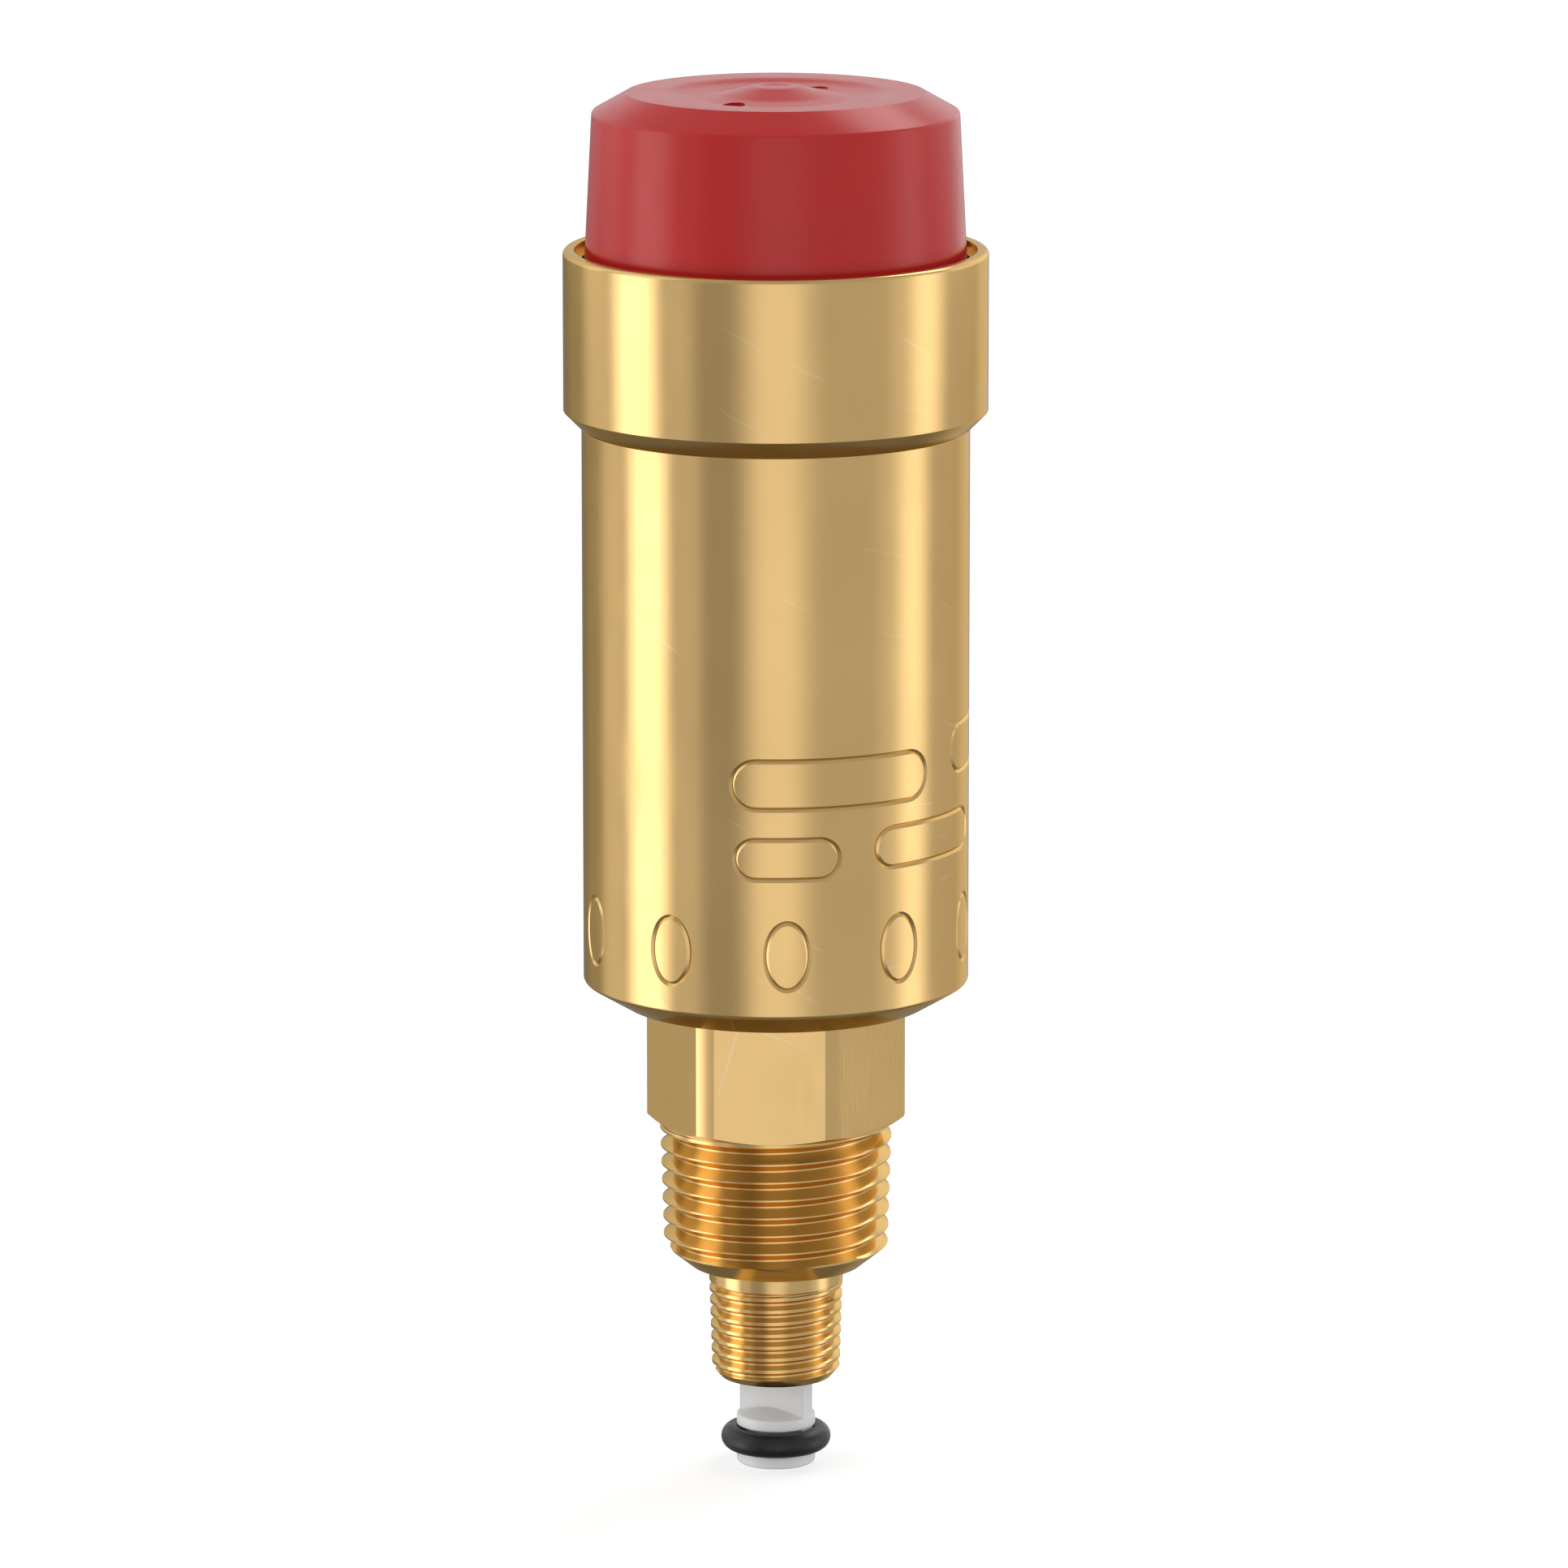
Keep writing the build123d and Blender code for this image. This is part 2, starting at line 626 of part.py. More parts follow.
with BuildPart() as lever_bracket:
    with BuildSketch(Plane.XY.offset(bracket_under_z)):
        with Locations((sum(BRACKET_X) / 2, 0)):
            Rectangle(BRACKET_X[1] - BRACKET_X[0], 2 * BRACKET_HALF_W)
        with Locations(*[(x, 0) for x in SCREW_X]):
            Circle(SCREW_R + SCREW_FIT, mode=Mode.SUBTRACT)
    extrude(amount=BRACKET_T)
    with BuildSketch(Plane.XY.offset(bracket_under_z)):
        with Locations((sum(EAR_X) / 2, ear_mid_y), (sum(EAR_X) / 2, -ear_mid_y)):
            Rectangle(EAR_X[1] - EAR_X[0], BRACKET_T)
    extrude(amount=EAR_BOTTOM_Z - bracket_under_z)
    with BuildSketch(across_pivot):
        Circle(PIN_R + SCREW_FIT)
    extrude(amount=BRACKET_HALF_W + 1, both=True, mode=Mode.SUBTRACT)

with BuildPart() as lever_pin:
    with BuildSketch(across_pivot):
        Circle(PIN_R)
    extrude(amount=BRACKET_HALF_W, both=True)
    head_planes = [
        across_pivot.offset(BRACKET_HALF_W),
        across_pivot.offset(-BRACKET_HALF_W - PIN_HEAD_T),
    ]
    with BuildSketch(*head_planes):
        Circle(PIN_HEAD_R)
    extrude(amount=PIN_HEAD_T)

with BuildPart() as bracket_screws:
    with BuildSketch(Plane.XY.offset(bracket_under_z - SCREW_HEAD_T)):
        with Locations(*[(x, 0) for x in SCREW_X]):
            Circle(SCREW_HEAD_R)
    extrude(amount=SCREW_HEAD_T)
    with BuildSketch(Plane.XY.offset(bracket_under_z)):
        with Locations(*[(x, 0) for x in SCREW_X]):
            Circle(SCREW_R)
    extrude(amount=SCREW_LENGTH)
    with BuildSketch(Plane.XY.offset(bracket_under_z - SCREW_HEAD_T)):
        with Locations(*[(x, 0) for x in SCREW_X]):
            Rectangle(2 * SCREW_HEAD_R, SCREW_SLOT)
    extrude(amount=SCREW_SLOT, mode=Mode.SUBTRACT)

# ---------------------------------------------------------------- float

inner_r = FLOAT_R - FLOAT_WALL

with BuildPart() as float_shell:
    add(
        turned(
            (0, FLOAT_BOTTOM_Z),
            (FLOAT_R - FLOAT_EDGE[0], FLOAT_BOTTOM_Z),
            (FLOAT_R, FLOAT_BOTTOM_Z + FLOAT_EDGE[1]),
            (FLOAT_R, FLOAT_TOP_Z),
            (inner_r, FLOAT_TOP_Z),
            (inner_r, FLOAT_BOTTOM_Z + FLOAT_EDGE[1] + FLOAT_WALL / 2),
            (inner_r - FLOAT_EDGE[0] + FLOAT_WALL / 2, FLOAT_BOTTOM_Z + FLOAT_WALL),
            (0, FLOAT_BOTTOM_Z + FLOAT_WALL),
        )
    )
    with BuildSketch(Plane.XY.offset(FLOAT_FOOT_Z)):
        with PolarLocations(FLOAT_FOOT_AT_R, 4, start_angle=45):
            Circle(FLOAT_FOOT_R)
    extrude(amount=FLOAT_BOTTOM_Z - FLOAT_FOOT_Z + FLOAT_WALL / 2)

with BuildPart() as float_lid:
    with BuildSketch(Plane.XY.offset(FLOAT_TOP_Z)):
        Circle(FLOAT_R)
    extrude(amount=LID_T)
    with BuildSketch(Plane.XY.offset(FLOAT_TOP_Z - LID_SPIGOT)):
        Circle(inner_r - LID_FIT)
        Circle(inner_r - LID_SPIGOT_W, mode=Mode.SUBTRACT)
    extrude(amount=LID_SPIGOT)
    with BuildSketch(Plane.XY.offset(FLOAT_TOP_Z + LID_T)):
        with Locations((LINK_X, 0)):
            Circle(LINK_BOSS_R)
    extrude(amount=LINK_BOSS_TOP_Z - FLOAT_TOP_Z - LID_T)
    with BuildSketch(Plane.XY.offset(LINK_END_Z)):
        with Locations((LINK_X, 0)):
            Circle(LINK_R + LINK_FIT)
    extrude(amount=LINK_BOSS_TOP_Z - LINK_END_Z, mode=Mode.SUBTRACT)

with BuildPart() as float_link:
    with BuildLine() as link_path:
        upright = Line((LINK_X, 0, LINK_END_Z + LINK_FIT), (LINK_X, 0, LINK_HOOK_Z - LINK_BEND))
        corner = TangentArc(upright @ 1, (LINK_X, LINK_BEND, LINK_HOOK_Z), tangent=(0, 0, 1))
        Line(corner @ 1, (LINK_X, LINK_HOOK_Y, LINK_HOOK_Z))
    with BuildSketch(Plane.XY.offset(LINK_END_Z + LINK_FIT)):
        with Locations((LINK_X, 0)):
            Circle(LINK_R)
    sweep(path=link_path.line)
    with BuildSketch(Plane.XY.offset(LINK_STOP_Z[0])):
        with Locations((LINK_X, 0)):
            Circle(LINK_STOP_R)
    extrude(amount=LINK_STOP_Z[1] - LINK_STOP_Z[0])

# ---------------------------------------------------------------- one file for each piece

pieces = {
    "valve_body": valve_body,
    "shutoff_plug": shutoff_plug,
    "plug_o_ring": plug_o_ring,
    "spring_retainer": spring_retainer,
    "shutoff_spring": shutoff_spring,
    "float_chamber": float_chamber,
    "stem_o_ring": stem_o_ring,
    "head_collar": head_collar,
    "valve_head": valve_head,
    "head_o_ring": head_o_ring,
    "vent_nozzle": vent_nozzle,
    "cap": cap,
    "cap_washer": cap_washer,
    "lever": lever,
    "valve_pad": valve_pad,
    "lever_bracket": lever_bracket,
    "lever_pin": lever_pin,
    "bracket_screws": bracket_screws,
    "float_shell": float_shell,
    "float_lid": float_lid,
    "float_link": float_link,
}
for name, piece in pieces.items():
    piece.part.label = name
    export_step(piece.part, f"parts/{name}.step")
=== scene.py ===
"""Looks for the float air vent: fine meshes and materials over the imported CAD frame, in metres."""

import json
import math

import bmesh
import bpy
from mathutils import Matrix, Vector


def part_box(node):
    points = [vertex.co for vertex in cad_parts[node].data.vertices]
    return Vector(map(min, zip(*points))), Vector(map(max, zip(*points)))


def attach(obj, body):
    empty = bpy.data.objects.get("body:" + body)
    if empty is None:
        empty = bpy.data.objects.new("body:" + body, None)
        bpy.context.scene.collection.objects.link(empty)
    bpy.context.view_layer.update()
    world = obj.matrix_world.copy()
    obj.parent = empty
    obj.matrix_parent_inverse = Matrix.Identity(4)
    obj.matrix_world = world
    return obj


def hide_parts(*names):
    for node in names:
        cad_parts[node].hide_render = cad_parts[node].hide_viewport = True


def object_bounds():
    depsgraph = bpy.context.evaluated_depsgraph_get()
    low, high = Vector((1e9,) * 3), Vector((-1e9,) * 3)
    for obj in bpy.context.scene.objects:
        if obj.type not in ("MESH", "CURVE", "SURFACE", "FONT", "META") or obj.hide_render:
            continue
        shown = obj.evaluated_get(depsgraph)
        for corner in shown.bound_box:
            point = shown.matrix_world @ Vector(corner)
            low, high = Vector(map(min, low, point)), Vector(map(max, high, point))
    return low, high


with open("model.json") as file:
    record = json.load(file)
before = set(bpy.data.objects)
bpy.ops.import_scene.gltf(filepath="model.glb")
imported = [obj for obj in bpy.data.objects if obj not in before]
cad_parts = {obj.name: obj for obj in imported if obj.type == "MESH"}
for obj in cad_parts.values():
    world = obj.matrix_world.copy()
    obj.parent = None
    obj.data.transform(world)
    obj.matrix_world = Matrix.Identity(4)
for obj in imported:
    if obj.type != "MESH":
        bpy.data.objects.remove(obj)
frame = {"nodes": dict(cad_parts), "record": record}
cad_low, cad_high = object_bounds()

MM = 0.001
TAPER = 1 / 32  # radius a tapered pipe thread gains per unit of height

# ---------------------------------------------------------------- places read from the frame


def top(node):
    """Highest point of a CAD node, mm."""
    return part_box(node)[1][2] / MM


def bottom(node):
    """Lowest point of a CAD node, mm."""
    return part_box(node)[0][2] / MM


# ---------------------------------------------------------------- mesh helpers


def rounded(points, steps):
    """The closed profile with each corner that has a radius turned into an arc.

    points are (r, z, corner radius); a corner with no radius stays sharp."""
    out = []
    count = len(points)
    for i, (r, z, size) in enumerate(points):
        here = Vector((r, z))
        before = Vector(points[i - 1][:2])
        after = Vector(points[(i + 1) % count][:2])
        to_a, to_b = (before - here), (after - here)
        if size <= 0:
            out.append((r, z))
            continue
        u, v = to_a.normalized(), to_b.normalized()
        angle = u.angle(v)
        reach = min(size / math.tan(angle / 2), 0.45 * to_a.length, 0.45 * to_b.length)
        actual = reach * math.tan(angle / 2)
        centre = here + (u + v).normalized() * (actual / math.sin(angle / 2))
        start, end = here + u * reach - centre, here + v * reach - centre
        sweep = start.angle_signed(end)
        for k in range(steps + 1):
            turn = -sweep * k / steps
            c, s = math.cos(turn), math.sin(turn)
            p = Vector((start.x * c - start.y * s, start.x * s + start.y * c))
            out.append(tuple(centre + p))
    return out


def mesh_object(name, vertices, faces, weld=1e-7):
    """A new object in the scene from vertices in millimetres, with touching points welded."""
    mesh = bpy.data.meshes.new(name)
    mesh.from_pydata([(x * MM, y * MM, z * MM) for x, y, z in vertices], [], faces)
    bm = bmesh.new()
    bm.from_mesh(mesh)
    bmesh.ops.remove_doubles(bm, verts=bm.verts, dist=weld)
    bmesh.ops.dissolve_degenerate(bm, edges=bm.edges, dist=weld)
    bmesh.ops.recalc_face_normals(bm, faces=bm.faces)
    bm.to_mesh(mesh)
    bm.free()
    obj = bpy.data.objects.new(name, mesh)
    bpy.context.collection.objects.link(obj)
    return obj


def columns(name, angles, column, closed):
    """A turned shape whose profile may change with the angle: column(angle) gives (r, z) points."""
    vertices, faces = [], []
    for angle in angles:
        c, s = math.cos(angle), math.sin(angle)
        points = column(angle)
        vertices += [(r * c, r * s, z) for r, z in points]
    rows = len(points)
    for i in range(len(angles) - 1):
        for j in range(rows if closed else rows - 1):
            a, b = i * rows + j, i * rows + (j + 1) % rows
            faces.append((a, a + rows, b + rows, b))
    return mesh_object(name, vertices, faces)


def around(count):
    """Equal steps once round, both ends included."""
    return [2 * math.pi * k / count for k in range(count + 1)]


def turned(name, profile, count, closed=True):
    """A solid of revolution from (r, z) points in millimetres."""
    return columns(name, around(count), lambda angle: profile, closed)


def circle(x, y, radius, count):
    """Points round a circle."""
    turns = [2 * math.pi * k / count for k in range(count)]
    return [(x + radius * math.cos(t), y + radius * math.sin(t)) for t in turns]


def smooth(obj, sharp):
    """Smooth shading, with edges over an angle in degrees left sharp."""
    obj.data.shade_smooth()
    obj.data.set_sharp_from_angle(angle=math.radians(sharp))


def cut(obj, cutter):
    """obj less cutter, and the cutter removed."""
    boolean = obj.modifiers.new("cut", "BOOLEAN")
    boolean.operation = "DIFFERENCE"
    boolean.solver = "EXACT"
    boolean.object = cutter
    depsgraph = bpy.context.evaluated_depsgraph_get()
    mesh = bpy.data.meshes.new_from_object(obj.evaluated_get(depsgraph))
    obj.modifiers.remove(boolean)
    obj.data = mesh
    bpy.data.objects.remove(cutter)


def barrel_normals(obj, radius):
    """Exact radial normals on a plain cylinder round Z, so that cuts leave no dents in its gloss."""
    near = 2e-6
    level = 0.02
    mesh = obj.data
    normals = [tuple(c.vector) for c in mesh.corner_normals]
    for face in mesh.polygons:
        radii = [math.hypot(*mesh.vertices[v].co.xy) for v in face.vertices]
        on_barrel = all(abs(r - radius * MM) < near for r in radii)
        if on_barrel and abs(face.normal.z) < level:
            for loop in face.loop_indices:
                x, y = mesh.vertices[mesh.loops[loop].vertex_index].co.xy
                size = math.hypot(x, y)
                normals[loop] = (x / size, y / size, 0)
    mesh.normals_split_custom_set(normals)


# ---------------------------------------------------------------- material helpers


class Nodes:
    """A material under construction. Underscores in an input's name stand for spaces."""

    def __init__(self, name):
        self.material = bpy.data.materials.new(name)
        self.material.use_nodes = True
        self.tree = self.material.node_tree
        self.shader = self.tree.nodes["Principled BSDF"]
        self.place = self.new("ShaderNodeTexCoord").outputs["Object"]

    def new(self, kind, **inputs):
        """A node with values or links put on its inputs."""
        node = self.tree.nodes.new(kind)
        for key, value in inputs.items():
            self.put(node.inputs[key.replace("_", " ")], value)
        return node

    def put(self, socket, value):
        """Links another node's output to the socket, or sets a plain value on it."""
        if isinstance(value, bpy.types.NodeSocket):
            self.tree.links.new(value, socket)
        else:
            socket.default_value = value

    def stretched(self, scale):
        """The place on the piece, scaled along each axis."""
        node = self.new("ShaderNodeMapping", Vector=self.place)
        node.inputs["Scale"].default_value = scale
        return node.outputs["Vector"]

    def noise(self, scale, detail, stretch=(1, 1, 1), rough=0.5):
        """Noise with scale waves to the metre."""
        place = self.stretched(stretch)
        node = self.new("ShaderNodeTexNoise", Vector=place, Scale=scale, Detail=detail, Roughness=rough)
        return node.outputs["Fac"]

    def ramp(self, value, *stops):
        """A colour or grey for a value, from (position, colour or grey) stops."""
        node = self.new("ShaderNodeValToRGB", Fac=value)
        ramp = node.color_ramp
        while len(ramp.elements) < len(stops):
            ramp.elements.new(0.5)
        for element, (position, colour) in zip(ramp.elements, stops):
            element.position = position
            element.color = (*colour, 1) if isinstance(colour, tuple) else (colour,) * 3 + (1,)
        return node.outputs["Color"]

    def math(self, operation, a, b):
        """The result of one sum on two values."""
        node = self.new("ShaderNodeMath")
        node.operation = operation
        self.put(node.inputs[0], a)
        self.put(node.inputs[1], b)
        return node.outputs[0]

    def mix(self, factor, a, b):
        """Colour a, turning into colour b as factor goes from 0 to 1."""
        node = self.new("ShaderNodeMix")
        node.data_type = "RGBA"
        self.put(node.inputs[0], factor)
        self.put(node.inputs[6], a)
        self.put(node.inputs[7], b)
        return node.outputs[2]

    def bump(self, height, distance, strength, normal=None):
        """Surface relief of a depth in metres, on top of another relief where there is one."""
        node = self.new("ShaderNodeBump", Height=height, Distance=distance, Strength=strength)
        if normal is not None:
            self.put(node.inputs["Normal"], normal)
        self.put(self.shader.inputs["Normal"], node.outputs["Normal"])
        return node.outputs["Normal"]

    def set(self, **inputs):
        """Values or links on the surface shader."""
        for key, value in inputs.items():
            self.put(self.shader.inputs[key.replace("_", " ")], value)


def scratches(m, scale, turn, density):
    """Sparse hairlines, 1 on a line: thin bands of a wave, kept only where a noise is high."""
    crest = 0.9993
    mapping = m.new("ShaderNodeMapping", Vector=m.place)
    mapping.inputs["Rotation"].default_value = turn
    place = mapping.outputs["Vector"]
    ripple = {"Distortion": 2.0, "Detail": 1.0, "Detail_Scale": 0.4}
    wave = m.new("ShaderNodeTexWave", Vector=place, Scale=scale, **ripple)
    line = m.ramp(wave.outputs["Fac"], (crest, 0.0), (1.0, 1.0))
    patch = m.new("ShaderNodeTexNoise", Vector=place, Scale=scale * 3.5, Detail=2.0)
    kept = m.ramp(patch.outputs["Fac"], (density, 0.0), (density + 0.08, 1.0))
    return m.math("MULTIPLY", line, kept)


def long_scratch(m, x0, z0, x1, z1):
    """One straight hairline on the hexagon's front flat, between two points in millimetres."""
    half_width = 0.05
    behind_flat = SPANNER / 2 - 0.3
    split = m.new("ShaderNodeSeparateXYZ", Vector=m.place)
    x, y, z = split.outputs
    length = math.dist((x0, z0), (x1, z1))
    along_x, along_z = (x1 - x0) / length, (z1 - z0) / length
    from_x, from_z = m.math("SUBTRACT", x, x0 * MM), m.math("SUBTRACT", z, z0 * MM)
    across = m.math("SUBTRACT", m.math("MULTIPLY", from_x, along_z), m.math("MULTIPLY", from_z, along_x))
    along = m.math("ADD", m.math("MULTIPLY", from_x, along_x), m.math("MULTIPLY", from_z, along_z))
    thin = m.math("LESS_THAN", m.math("ABSOLUTE", across, 0.0), half_width * MM)
    within = m.math("COMPARE", along, length * MM / 2)
    within.node.inputs[2].default_value = length * MM / 2
    front = m.math("LESS_THAN", y, -behind_flat * MM)
    return m.math("MULTIPLY", m.math("MULTIPLY", thin, within), front)


def right_flat(m):
    """1 on the hexagon's right front flat, 0 elsewhere."""
    left_end, low_end = 4.6, 0.3
    split = m.new("ShaderNodeSeparateXYZ", Vector=m.place)
    x, y, z = split.outputs
    beside = m.math("GREATER_THAN", x, left_end * MM)
    above = m.math("GREATER_THAN", z, low_end * MM)
    return m.math("MULTIPLY", beside, above)


BRASS = (0.80, 0.538, 0.225)
BRASS_AT_EDGES = (0.86, 0.74, 0.52, 1)
BRASS_IN_SCRATCHES = (1.0, 0.86, 0.58, 1)


def brass(name, roughness, grain=0.0, long_scratches=()):
    """Polished brass with an uneven gloss, faint hairlines, and an optional grain on one flat."""
    m = Nodes(name)
    darker = tuple(0.94 * c for c in BRASS)
    base = m.ramp(m.noise(90, 2), (0.3, darker), (0.7, BRASS))
    rough = m.ramp(m.noise(260, 4), (0.3, roughness * 0.85), (0.75, roughness * 1.3))
    lines = (scratches(m, 45, (0.5, 0.9, 0.3), 0.58), scratches(m, 60, (1.2, 0.2, 1.1), 0.6))
    line = m.math("MULTIPLY", m.math("MAXIMUM", *lines), 0.14)
    for ends in long_scratches:
        line = m.math("MAXIMUM", line, m.math("MULTIPLY", long_scratch(m, *ends), 0.5))
    m.set(Base_Color=m.mix(line, base, BRASS_IN_SCRATCHES))
    upright_wipes = m.noise(1300, 4, stretch=(1, 1, 0.2))
    wiped_patches = m.ramp(m.noise(70, 2), (0.52, 0.0), (0.7, 1.0))
    smudge = m.math("MULTIPLY", m.math("MULTIPLY", upright_wipes, wiped_patches), 0.16)
    rough = m.math("ADD", rough, smudge)
    m.set(Specular_Tint=BRASS_AT_EDGES)
    normal = m.bump(m.noise(9000, 2), 0.00001, 0.05)
    if grain:
        milled = right_flat(m)
        upright = m.math("MULTIPLY", m.noise(4200, 3, stretch=(1, 1, 0.12), rough=0.6), milled)
        m.bump(upright, 0.00006, grain, normal)
        rough = m.math("ADD", rough, m.math("MULTIPLY", milled, 0.08))
    m.set(Roughness=m.math("ADD", rough, m.math("MULTIPLY", line, 0.3)), Metallic=1.0)
    return m.material


def plastic(name, colour, roughness, ior=1.45):
    """Moulded plastic: faint mottling, uneven gloss and a fine spark-eroded grain."""
    mottle = 0.03
    m = Nodes(name)
    m.set(IOR=ior)
    light = tuple(min(1, c * (1 + mottle)) for c in colour)
    dark = tuple(c * (1 - mottle) for c in colour)
    m.set(Base_Color=m.ramp(m.noise(160, 3), (0.35, dark), (0.65, light)))
    m.set(Roughness=m.ramp(m.noise(700, 3), (0.3, roughness * 0.9), (0.7, roughness * 1.1)))
    m.bump(m.noise(4500, 2), 0.00002, 0.12)
    return m.material


def rubber(name, colour, roughness):
    """Moulded rubber with a little bloom."""
    m = Nodes(name)
    bloomed = tuple(c + 0.012 for c in colour)
    m.set(Base_Color=m.ramp(m.noise(500, 4), (0.4, colour), (0.8, bloomed)))
    m.set(Roughness=m.ramp(m.noise(1500, 3), (0.3, roughness * 0.85), (0.7, roughness * 1.1)))
    m.bump(m.noise(6000, 2), 0.00002, 0.15)
    return m.material


def steel(name, roughness):
    """Stamped stainless steel with a rolling direction."""
    m = Nodes(name)
    rolled = m.noise(900, 4, stretch=(0.08, 1, 1))
    m.set(Base_Color=m.ramp(rolled, (0.3, (0.48, 0.48, 0.47)), (0.7, (0.62, 0.61, 0.59))))
    m.set(Roughness=m.ramp(rolled, (0.3, roughness * 0.8), (0.7, roughness * 1.25)))
    m.set(Metallic=1.0)
    m.bump(rolled, 0.00002, 0.15)
    return m.material


# ---------------------------------------------------------------- sizes of the turned pieces, mm

SPANNER = 17.0
HEX_CORNER_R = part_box("valve_body")[1][0] / MM
HEX_TOP_Z = top("valve_body")
HEX_CHAMFER_R = 8.45
HEX_CHAMFER_H = 0.45
HEX_EDGE = 0.06
HEX_TURN = math.radians(-3.0)

NOSE_LENGTH = 8.51
NECK_LENGTH = 1.3
NOSE_END_Z = bottom("valve_body")
PIPE_END_Z = NOSE_END_Z + NOSE_LENGTH
NECK_END_Z = PIPE_END_Z - NECK_LENGTH

CHAMBER_R = 13.98
CHAMBER_BORE_R = 12.35
JOINT_R = 5.5
JOINT_BORE_R = JOINT_R + 0.05
COLLAR_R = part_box("head_collar")[1][0] / MM
COLLAR_TOP_Z = top("head_collar")
COLLAR_LOW_Z = bottom("head_collar")
CAP_RIM_Z = bottom("cap")
CAP_RIM_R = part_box("cap")[1][0] / MM
HILL_H = 0.47
CAP_TOP_Z = top("cap") - HILL_H

# ---------------------------------------------------------------- shut-off valve body


class Thread:
    """A right-handed thread with flat crests and roots, which may taper.

    crest_at(z) is its crest radius at a height, crest_z is the height of a crest at angle 0, and it
    fades out over run_out below its high end."""

    def __init__(self, pitch, depth, crest_flat, root_flat, crest_at, crest_z, low, high, run_out):
        self.pitch, self.depth = pitch, depth
        self.half_crest, self.half_root = crest_flat / 2, root_flat / 2
        self.crest_at, self.crest_z = crest_at, crest_z
        self.low, self.high, self.run_out = low, high, run_out

    def crest_height(self, angle):
        """Height of the first full crest at this angle."""
        return self.crest_z + self.pitch * angle / (2 * math.pi)

    def radius(self, angle, z):
        """Radius of the surface at this angle and height."""
        above = (z - self.crest_height(angle)) % self.pitch
        from_crest = min(above, self.pitch - above)
        flank = self.pitch / 2 - self.half_root - self.half_crest
        share = min(1.0, max(0.0, (from_crest - self.half_crest) / flank))
        fade = min(1.0, max(0.0, (self.high - z) / self.run_out))
        return self.crest_at(z) - self.depth * share * fade

    def heights(self, angle):
        """Heights of the profile's corners and points between, down the thread, clipped to its ends."""
        flank_steps = 4
        turns = int((self.high - self.low) / self.pitch) + 3
        flank = self.pitch / 2 - self.half_root - self.half_crest
        down_flank = [self.half_crest + flank * k / flank_steps for k in range(flank_steps + 1)]
        down = down_flank + [self.pitch - d for d in reversed(down_flank)]
        first = self.crest_height(angle) + self.pitch
        values = [first - k * self.pitch - d for k in range(turns) for d in down]
        return [min(self.high, max(self.low, z)) for z in values]


def chamfered(z, end_z, end_r, slope):
    """Radius of an end chamfer that leaves end_r at end_z."""
    return end_r + (z - end_z) * slope


def hexagon_radius(angle):
    """Outline of the spanner hexagon with its corners turned round."""
    step = math.pi / 3
    off = (angle - HEX_TURN) % step - step / 2
    return min(HEX_CORNER_R, SPANNER / 2 / math.cos(off))


def hexagon_angles(count):
    """Equal steps once round, and the exact angles where flats meet turned corners."""
    half_corner = math.pi / 6 - math.acos(SPANNER / 2 / HEX_CORNER_R)
    corners = [HEX_TURN + math.pi / 3 * k for k in range(1, 7)]
    junctions = [corner + side * half_corner for corner in corners for side in (-1, 1)]
    start = junctions[-1] - 2 * math.pi
    too_close = math.pi / count / 2
    steps = [start + angle for angle in around(count)[1:-1]]
    steps = [angle for angle in steps if min(abs(angle - j) for j in junctions) > too_close]
    return sorted([start, start + 2 * math.pi] + steps + junctions[:-1])


def pipe_crest(z):
    """Crest radius of the R 3/8 thread, which has its full size at the gauge plane."""
    gauge_r, gauge_length = 8.331, 6.4
    return gauge_r + (z - PIPE_END_Z - gauge_length) * TAPER


def nose_crest(z):
    """Crest radius of the R 1/8 thread, turned down."""
    gauge_r, gauge_z = 4.765, -15.7
    return gauge_r + (z - gauge_z) * TAPER


pipe_thread = Thread(
    pitch=1.337,
    depth=0.856,
    crest_flat=0.12,
    root_flat=0.12,
    crest_at=pipe_crest,
    crest_z=-1.16,
    low=PIPE_END_Z,
    high=-0.05,
    run_out=0.4,
)
nose_thread = Thread(
    pitch=0.907,
    depth=0.39,
    crest_flat=0.235,
    root_flat=0.15,
    crest_at=nose_crest,
    crest_z=-13.13,
    low=NOSE_END_Z,
    high=NECK_END_Z,
    run_out=0.3,
)
# the bore's steps above the nose: radius, and height of the step's low end
PLUG_BORE_R = 3.1
SPRING_BORE_R, SPRING_BORE_Z = 4.4, -9.6
SEAL_BORE_R, SEAL_BORE_Z = 4.85, -5.0
JOINT_BORE_Z = 3.0


